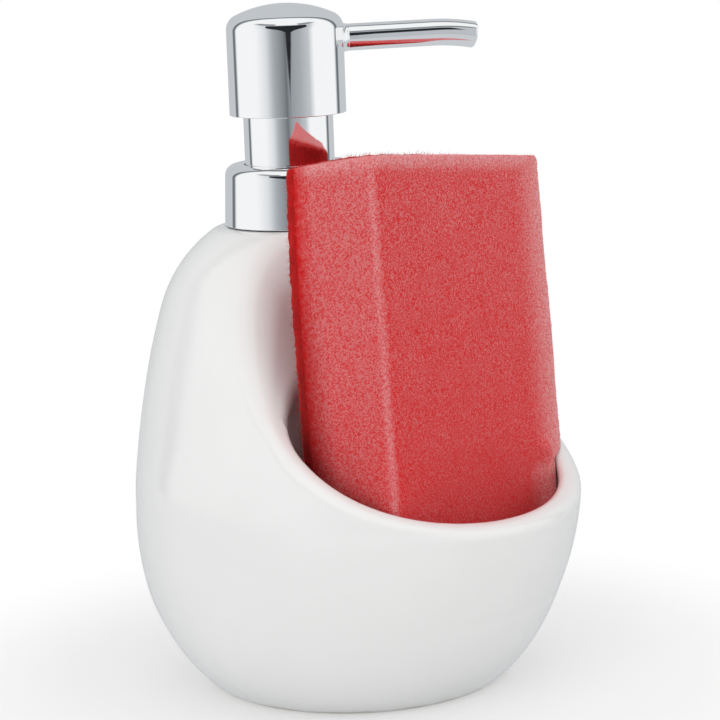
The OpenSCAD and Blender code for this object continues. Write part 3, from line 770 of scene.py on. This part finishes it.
def make_spout(chrome, finish):
    """Spout tube: straight, then bent down a little towards its open tip."""
    bm = bmesh.new()
    bmesh.ops.create_circle(bm, cap_ends=True, radius=SPOUT_R, segments=64)
    bmesh.ops.inset_region(bm, faces=bm.faces, thickness=SPOUT_WALL, use_boundary=True,
                           use_even_offset=True)
    middle = max(bm.faces, key=lambda face: len(face.verts))
    bmesh.ops.delete(bm, geom=[middle], context="FACES_ONLY")
    bmesh.ops.rotate(bm, verts=bm.verts, cent=(0, 0, 0),
                     matrix=Matrix.Rotation(math.pi / 2, 3, "Y"))
    bmesh.ops.translate(bm, verts=bm.verts, vec=(SPOUT_ROOT, 0, 0))
    front = list(bm.faces)
    for _ in range(2):
        result = bmesh.ops.extrude_face_region(bm, geom=front)["geom"]
        front = [item for item in result if isinstance(item, bmesh.types.BMFace)]
        ends = [item for item in result if isinstance(item, bmesh.types.BMVert)]
        bmesh.ops.translate(bm, verts=ends, vec=((SPOUT_STRAIGHT - SPOUT_ROOT) / 2, 0, 0))
    bmesh.ops.spin(bm, geom=front, cent=(SPOUT_STRAIGHT, 0, -SPOUT_BEND_R), axis=(0, 1, 0),
                   angle=SPOUT_BEND, steps=16)
    weld(bm)
    inner = [face for face in bm.faces if all(len(edge.link_faces) > 2 for edge in face.edges)]
    bmesh.ops.delete(bm, geom=inner, context="FACES_ONLY")
    bmesh.ops.recalc_face_normals(bm, faces=bm.faces)
    rims = [edge for edge in bm.edges
            if len(edge.link_faces) == 2 and edge.calc_face_angle(0) > math.radians(60)]
    bmesh.ops.bevel(bm, geom=rims, offset=chrome.rim_round, offset_type="OFFSET", segments=3,
                    profile=0.5, affect="EDGES", material=-1)
    bmesh.ops.transform(bm, matrix=spout_frame(), verts=bm.verts)
    new_piece("spout_chrome", bm, finish, "head", ["spout_tube"])


def ease(value, low, high):
    """Smooth step from 0 to 1."""
    share = min(1, max(0, (value - low) / (high - low)))
    return share * share * (3 - 2 * share)


def swollen(place, sponge):
    """How far the squeezed sponge has swelled sideways above the lip."""
    middle_y, outer_y = 8 * MM, 34 * MM
    high = min(1, max(0, (place.z - 60 * MM) / (SPONGE_TOP - 60 * MM)))
    if place.y > 0:
        far = ease(place.y, middle_y, outer_y) * ease(place.z, 52.5 * MM, 56.5 * MM)
        return far * sponge.flare * (1 - 0.43 * high)
    near = ease(-place.y, middle_y, outer_y) * ease(place.z, 35 * MM, 60 * MM)
    bowed = 0.85 * (1 - 0.4 * high) + 0.7 * high * (1 - high)
    depth = ahead_of(SPONGE_X, place.x, place.z)
    return -near * sponge.flare * bowed * (1 - depth / SPONGE_T)


def rising(values, low, high):
    """Straight ramps from 0 to 1."""
    return np.clip((values - low) / (high - low), 0, 1)


def press_on_cup(bm):
    """Spreads the sponge's far corner below the lip until it touches the cup's wall."""
    points = places(bm)
    x, y, z = points.T
    clearance, reach, held = 0.3 * MM, 4.5 * MM, 1.5 * MM
    gap = np.maximum(-egg(points, WALL) - clearance, 0)
    share = 1 - rising(gap, held, reach)
    share = share * rising(z, 30 * MM, 40 * MM) * (1 - rising(z, 58 * MM, 62 * MM))
    share = share * rising(y, 0, 20 * MM) * (x > 0)
    share = share * share * (3 - 2 * share)
    outward = points * (1, 1, 0)
    outward /= np.linalg.norm(outward, axis=1, keepdims=True)
    put(bm, points + outward * (gap * share)[:, None])


def make_sponge_body(sponge):
    """The whole sponge made even, softened, swollen and roughened, with its edges marked."""
    bm = even_mesh(node_copy("sponge_foam", "scourer_pad"), sponge.mesh_step)
    edge_mark = bm.verts.layers.float.new("edge")
    depth_mark = bm.verts.layers.float.new("depth")
    side_mark = bm.verts.layers.float.new("side")
    for vertex in bm.verts:
        x, y, z = vertex.co
        depth = ahead_of(SPONGE_X, x, z)
        top = SPONGE_TOP - y * math.tan(SPONGE_SLOPE) - z
        nearest, upright, _ = sorted((SPONGE_T - depth, SPONGE_W / 2 - abs(y), depth))
        # Painted highlight along the edges: narrow at the near side's edges, broad across the far
        # side as it turns away, and along the top edges.
        if y < 0:
            highlit_upright = 0.6 * (1 - ease(upright, 1.1 * MM, 2.6 * MM))
        else:
            highlit_upright = 1.1 * (1 - ease(upright, 1 * MM, 14 * MM))
        vertex[edge_mark] = max(highlit_upright, 0.8 * (1 - ease(max(top, nearest), 0.3 * MM, 4 * MM)))
        vertex[depth_mark] = depth
        # The near narrow side and the top: painted light pales them, and low down painted shade
        # darkens the near side.
        vertex[side_mark] = 1 - ease(min(top, SPONGE_W / 2 + y), 0, 1.5 * MM)
    for _ in range(2):
        soften(bm)
    bm.normal_update()
    for vertex in bm.verts:
        place = vertex.co.copy()
        coarse = 0.10 + 0.32 * (1 - ease(vertex[depth_mark], PAD_T - 0.5 * MM, PAD_T + 1 * MM))
        rough = (noise.noise(place * 60) * 0.25 + noise.noise(place * 380) * 0.10
                 + noise.noise(place * 1250) * coarse - 0.10)
        across = 1 - (place.y / (SPONGE_W / 2)) ** 2
        vertex.co = place + vertex.normal * rough * MM
        vertex.co.y += swollen(place, sponge)
        back = 1 - 0.85 * vertex[depth_mark] / SPONGE_T
        near = 0.55 - 0.45 * place.y / (SPONGE_W / 2)
        rise = sponge.front_rise * near * vertex[depth_mark] / SPONGE_T
        vertex.co.z += (sponge.crown * across * back + rise) * ease(place.z, 95 * MM, 130 * MM)
    press_on_cup(bm)
    return bm


def cut_sponge(body, keep_pad):
    """One side of the sponge, cut where the pad is bonded to the foam, and closed there."""
    bm = body.copy()
    lean = Vector((math.cos(SPONGE_LEAN), 0, math.sin(SPONGE_LEAN)))
    bond = Vector((SPONGE_X, 0, WAIST_H)) + lean * PAD_T
    bmesh.ops.bisect_plane(
        bm, geom=list(bm.verts) + list(bm.edges) + list(bm.faces), dist=1e-7,
        plane_co=bond, plane_no=lean, clear_outer=keep_pad, clear_inner=not keep_pad)
    rim = [edge for edge in bm.edges if len(edge.link_faces) == 1]
    bmesh.ops.holes_fill(bm, edges=rim, sides=0)
    return bm


def make_sponge(sponge):
    """Foam and scouring pad, cut from one swollen body."""
    body = make_sponge_body(sponge)
    pieces = []
    for name, node, slot, finish, is_pad in (
            ("foam_block", "sponge_foam", "red_foam", foam_finish(sponge), False),
            ("scourer_sheet", "scourer_pad", "red_scourer", pad_finish(sponge), True)):
        piece = new_piece(name, cut_sponge(body, is_pad), finish, "sponge", [node],
                          math.radians(80))
        pieces.append(piece)
    body.free()
    return pieces


def make_fibres(name, mesh, count, length, thickness, seed, wanted, finish):
    """Short loose fibres that stand off a mesh where its faces are wanted, made in small lots."""
    chance = random.Random(seed)
    outer = [face for face in mesh.polygons if len(face.vertices) < 6]
    bm = bmesh.new()
    left = count
    lot_size, sunk = 60, 0.15 * MM
    while left > 0:
        lot = bmesh.new()
        for _ in range(min(left, lot_size)):
            face = chance.choice(outer)
            while chance.random() > wanted(face):
                face = chance.choice(outer)
            along = face.normal + Vector([chance.uniform(-1, 1) for _ in range(3)]) * 0.9
            reach = length * chance.uniform(0.25, 1)
            turned = along.to_track_quat("Z", "Y").to_matrix().to_4x4()
            place = Matrix.Translation(face.center - face.normal * sunk) @ turned
            bmesh.ops.create_cone(
                lot, cap_ends=False, segments=3, radius1=thickness, radius2=thickness / 3,
                depth=reach, matrix=place @ Matrix.Translation((0, 0, reach / 2)))
        left -= lot_size
        made = bpy.data.meshes.new("lot")
        lot.to_mesh(made)
        lot.free()
        bm.from_mesh(made)
        bpy.data.meshes.remove(made)
    new_piece(name, bm, finish, "sponge")


def make_sponge_fuzz(sponge, foam, pad):
    """Fuzz along the foam's edges, and longer fibres that stand off the pad."""
    marks = foam.data.attributes["edge"].data
    fuzz_foot, fibre_foot = 62 * MM, 56 * MM

    def on_edge(face):
        if face.center.z < fuzz_foot:
            return 0
        return marks[face.vertices[0]].value ** 2

    def on_pad(face):
        if face.center.z < fibre_foot:
            return 0
        return 0.12 + 0.88 * max(abs(face.normal.y), face.normal.z)

    make_fibres("foam_fuzz", foam.data, count=sponge.fuzz, length=0.5 * MM, thickness=0.03 * MM,
                seed=3, wanted=on_edge,
                finish=foam_finish(sponge, "pale_fuzz", lift=1.25, paleness=1.9))
    make_fibres("scourer_fibres", pad.data, count=sponge.fibres, length=sponge.fibre_length,
                thickness=0.05 * MM, seed=7, wanted=on_pad,
                finish=pad_finish(sponge, "red_fibres", lift=1.15))


def make_spring(finish):
    """Return spring, copied from the frame's coil onto its own mesh. The real spring shortens
    under the piston when the head is pressed; this copy keeps its frame length.
    """
    coil = new_piece("return_spring_coil", node_copy("return_spring"), finish, "pump",
                     ["return_spring"], math.radians(80))
    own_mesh(coil)


# Stage

def make_camera():
    """Camera at the photograph's place, heading and roll."""
    flat = Vector((math.cos(CAMERA_HEADING), math.sin(CAMERA_HEADING), 0))
    ahead = flat * math.cos(CAMERA_PITCH) - Vector((0, 0, math.sin(CAMERA_PITCH)))
    right = ahead.cross(Vector((0, 0, 1))).normalized()
    up = right.cross(ahead)
    turned_right = right * math.cos(CAMERA_ROLL) - up * math.sin(CAMERA_ROLL)
    turned_up = right * math.sin(CAMERA_ROLL) + up * math.cos(CAMERA_ROLL)
    lens = bpy.data.cameras.new("camera")
    lens.sensor_width = CAMERA_SENSOR_MM
    lens.lens = CAMERA_LENS_MM
    lens.clip_start = 0.01
    camera = bpy.data.objects.new("camera", lens)
    turned = Matrix((turned_right, turned_up, -ahead)).transposed().to_4x4()
    camera.matrix_world = Matrix.Translation(CAMERA_PLACE) @ turned
    bpy.context.scene.collection.objects.link(camera)
    bpy.context.scene.camera = camera


def make_lamp(name, place, size, power):
    """A square soft lamp that faces the caddy and isn't mirrored in it."""
    light = bpy.data.lights.new(name, "AREA")
    light.shape = "SQUARE"
    light.size = size
    light.energy = power
    lamp = bpy.data.objects.new(name, light)
    lamp.location = place
    lamp.rotation_euler = (LAMP_AIM - Vector(place)).to_track_quat("-Z", "Y").to_euler()
    lamp.visible_glossy = False
    bpy.context.scene.collection.objects.link(lamp)


def level(value):
    """A plain grey."""
    return (value, value, value, 1)


def grey(shown):
    """A cool grey that shows as a value from 0 to 255 on a screen."""
    linear = ((shown / 255 + 0.055) / 1.055) ** 2.4 * 1.03
    cool = 0.10 * (1 - linear)
    return (linear * (1 - cool), linear, linear * (1 + cool), 1)


def ramp(tree, value, stops):
    """Greys through (place, colour) stops, for a value from -1 to 1 laid on places 0 to 1."""
    node = add(tree, "ValToRGB", {"Fac": between(tree, value, -1, 1, 0, 1)})
    elements = node.color_ramp.elements
    elements[0].position, elements[0].color = stops[0]
    elements[1].position, elements[1].color = stops[-1]
    for place, colour in stops[1:-1]:
        elements.new(place).color = colour
    return node.outputs[0]


def seen_directly(tree, path):
    """One where the camera looks at a surface, also through a clear piece, and else zero."""
    return arithmetic(tree, "MAXIMUM", path.outputs["Is Camera Ray"],
                      path.outputs["Is Transmission Ray"])


def towards(tree, direction, heading):
    """How far a direction points towards a heading, from -1 to 1."""
    return add(tree, "VectorMath", {0: direction, 1: heading},
               operation="DOT_PRODUCT").outputs["Value"]


def make_surroundings(stage):
    """Even light for matt surfaces, white for the camera, and for mirrors a white tent.

    The tent has a thin dark seam behind the caddy. It is open on the camera's side, where a
    dark wedge stands over it.
    """
    world = bpy.data.worlds.new("studio")
    bpy.context.scene.world = world
    world.use_nodes = True
    tree = world.node_tree
    tree.nodes.clear()
    direction = add(tree, "TexCoord").outputs["Generated"]
    front = Vector((CAMERA_PLACE.x - PUMP_X, CAMERA_PLACE.y, 0)).normalized()
    facing = towards(tree, direction, front)
    aside = towards(tree, direction, Vector((-front.y, front.x, 0)))
    height = add(tree, "SeparateXYZ", {0: direction}).outputs["Z"]
    # The tent's greys, from behind the caddy to the camera's side
    lift = times(tree, arithmetic(tree, "MAXIMUM", height, 0), -0.16)
    tent = ramp(tree, plus(tree, facing, lift), [
        (0.0, grey(197)), (0.205, grey(199)), (0.232, grey(120)), (0.272, grey(108)),
        (0.300, grey(205)), (0.33, grey(246)), (1.0, grey(247))])
    # The greys of what is seen through the opening, from one side to the other
    gap = ramp(tree, aside, [
        (0.06, grey(246)), (0.178, grey(223)), (0.265, grey(182)), (0.31, grey(166)),
        (0.465, grey(128)), (0.49, grey(112)), (0.53, grey(140)), (0.57, grey(155)),
        (0.72, grey(170)), (0.81, grey(188)), (0.855, grey(196)), (0.885, grey(222)),
        (0.92, grey(247))])
    opened = times(tree, between(tree, facing, 0.25, 0.5, 0, 1),
                   between(tree, height, 0.62, 0.70, 1, 0))
    walls = blend(tree, opened, tent, gap)
    # Half width of the dark wedge, by height of the direction
    wedge = ramp(tree, height, [
        (0.458, level(0)), (0.465, level(0.063)), (0.471, level(0.117)), (0.482, level(0.15)),
        (0.53, level(0.22)), (0.60, level(0.42)), (0.70, level(0.95)), (0.80, level(1.05)),
        (0.812, level(0))])
    sideways = arithmetic(tree, "DIVIDE", aside, arithmetic(tree, "MAXIMUM", facing, 0.01))
    spread = arithmetic(tree, "ABSOLUTE", arithmetic(tree, "SUBTRACT", sideways, 0.11))
    inside = times(
        tree, between(tree, facing, 0.02, 0.1, 0, 1),
        between(tree, arithmetic(tree, "SUBTRACT", wedge, spread), -0.01, 0.03, 0, 1))
    # Grey strips that run outwards from the top of the wedge
    strip = times(tree, between(tree, height, 0.63, 0.67, 0, 1),
                  between(tree, height, 0.76, 0.80, 1, 0))
    strip = times(tree, strip, between(tree, spread, 0.45, 0.6, 0, 0.9))
    strip = times(tree, strip, between(tree, facing, 0.1, 0.3, 0, 1))
    mirrored = blend(tree, inside, blend(tree, strip, walls, grey(122)), grey(40))
    path = add(tree, "LightPath")
    plain, white, studio = (
        add(tree, "Background", {"Color": colour, "Strength": strength}).outputs[0]
        for colour, strength in ((level(1), stage.surround), (level(1), 1.0), (mirrored, 1.0)))
    indirect = add(tree, "MixShader", {0: path.outputs["Is Glossy Ray"], 1: plain, 2: studio})
    shown = add(tree, "MixShader", {0: seen_directly(tree, path), 1: indirect.outputs[0],
                                    2: white})
    add(tree, "OutputWorld", {"Surface": shown.outputs[0]})


def floor_finish():
    """Pale matt floor that fades to plain white away from the caddy."""
    material, tree, shader = begin("pale_floor")
    feed(tree, shader, {"Base Color": blend(tree, grain(tree, 30, 3), level(0.85), level(0.87)),
                        "Roughness": 0.85})
    away = add(tree, "VectorMath", {0: place_in(tree)}, operation="LENGTH").outputs["Value"]
    faded = add(tree, "MapRange", {"Value": away, "From Min": 70 * MM, "From Max": 140 * MM,
                                   "To Min": 0.45, "To Max": 1.0},
                interpolation_type="SMOOTHSTEP").outputs["Result"]
    path = add(tree, "LightPath")
    glossy = path.outputs["Is Glossy Ray"]
    factor = arithmetic(tree, "MAXIMUM", times(tree, seen_directly(tree, path), faded), glossy)
    glow = add(tree, "Emission", {"Color": blend(tree, glossy, level(1), grey(203))})
    mix = add(tree, "MixShader", {0: factor, 1: shader.outputs[0], 2: glow.outputs[0]})
    feed(tree, tree.nodes["Material Output"], {"Surface": mix.outputs[0]})
    return material


def make_floor(stage):
    """Round floor that the caddy stands on."""
    bm = bmesh.new()
    bmesh.ops.create_circle(bm, cap_ends=True, radius=stage.floor_r, segments=96)
    floor = new_piece("floor", bm, floor_finish())


# Operators

class CADDY_OT_ceramic(Operator):
    """Make the glazed ceramic body"""
    bl_idname = "caddy.ceramic"
    bl_label = "Ceramic Body"

    def execute(self, context):
        make_ceramic_body(context.scene.caddy_ceramic)
        return {"FINISHED"}


class CADDY_OT_chrome(Operator):
    """Make the collar, sleeve, head and spout in chrome"""
    bl_idname = "caddy.chrome"
    bl_label = "Chrome Shells"

    def execute(self, context):
        chrome = context.scene.caddy_chrome
        finish = chrome_finish(chrome)
        for make in (make_collar, make_sleeve, make_head, make_boss, make_spout):
            make(chrome, finish)
        return {"FINISHED"}


class CADDY_OT_sponge(Operator):
    """Make the foam sponge, its scouring pad and their loose fibres"""
    bl_idname = "caddy.sponge"
    bl_label = "Sponge"

    def execute(self, context):
        sponge = context.scene.caddy_sponge
        foam, pad = make_sponge(sponge)
        make_sponge_fuzz(sponge, foam, pad)
        return {"FINISHED"}


class CADDY_OT_works(Operator):
    """Finish the plastic, rubber and steel pieces of the pump's works"""
    bl_idname = "caddy.works"
    bl_label = "Pump Works"

    def execute(self, context):
        works = context.scene.caddy_works
        white = moulded_finish("white_plastic", works.white, 0.35)
        milky = moulded_finish("milky_plastic", works.milky, 0.22, 0.55)
        rubber = rubber_finish(works)
        wire = steel_finish("spring_wire", works.steel, 0.28)
        ball = steel_finish("valve_ball", shade(works.steel, 1.1), 0.12)
        finishes = {
            white: ["plug_body", "collar_liner", "ball_cage", "piston_seat", "stem_guide",
                    "stem", "head_core", "spout_liner"],
            milky: ["pump_housing", "dip_tube", "piston"],
            rubber: ["neck_stopper", "seal_washer", "stem_seal"],
            ball: ["inlet_ball", "outlet_ball"],
        }
        for finish, nodes in finishes.items():
            for node in nodes:
                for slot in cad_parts[node].material_slots:
                    slot.material = finish
        make_spring(wire)
        return {"FINISHED"}


class CADDY_OT_stage(Operator):
    """Set up the floor, the lamps, the surroundings and the camera"""
    bl_idname = "caddy.stage"
    bl_label = "Stage"

    def execute(self, context):
        stage = context.scene.caddy_stage
        context.scene.view_settings.view_transform = "Standard"
        make_camera()
        make_floor(stage)
        make_surroundings(stage)
        for name, place, size, power in LAMPS:
            make_lamp(name, place, size, power * stage.lamps)
        return {"FINISHED"}


class CADDY_PT_panel(Panel):
    bl_label = "Soap Pump Caddy"
    bl_idname = "CADDY_PT_panel"
    bl_space_type = "VIEW_3D"
    bl_region_type = "UI"
    bl_category = "Caddy"

    def draw(self, context):
        for operator, _, group in STEPS:
            box = self.layout.box()
            settings = getattr(context.scene, group)
            for name in settings.bl_rna.properties.keys():
                if name not in ("rna_type", "name"):
                    box.prop(settings, name)
            box.operator(operator.bl_idname)


# Each step's operator, its settings, and their name in the scene
STEPS = (
    (CADDY_OT_stage, CaddyStage, "caddy_stage"),
    (CADDY_OT_ceramic, CaddyCeramic, "caddy_ceramic"),
    (CADDY_OT_chrome, CaddyChrome, "caddy_chrome"),
    (CADDY_OT_sponge, CaddySponge, "caddy_sponge"),
    (CADDY_OT_works, CaddyWorks, "caddy_works"),
)


def register():
    for operator, group, name in STEPS:
        bpy.utils.register_class(group)
        setattr(bpy.types.Scene, name, PointerProperty(type=group))
        bpy.utils.register_class(operator)
    bpy.utils.register_class(CADDY_PT_panel)


def unregister():
    bpy.utils.unregister_class(CADDY_PT_panel)
    for operator, group, name in reversed(STEPS):
        bpy.utils.unregister_class(operator)
        delattr(bpy.types.Scene, name)
        bpy.utils.unregister_class(group)


def main():
    register()
    bpy.ops.caddy.stage()
    bpy.ops.caddy.ceramic()
    bpy.ops.caddy.chrome()
    bpy.ops.caddy.sponge()
    bpy.ops.caddy.works()


if __name__ == "__main__":
    main()
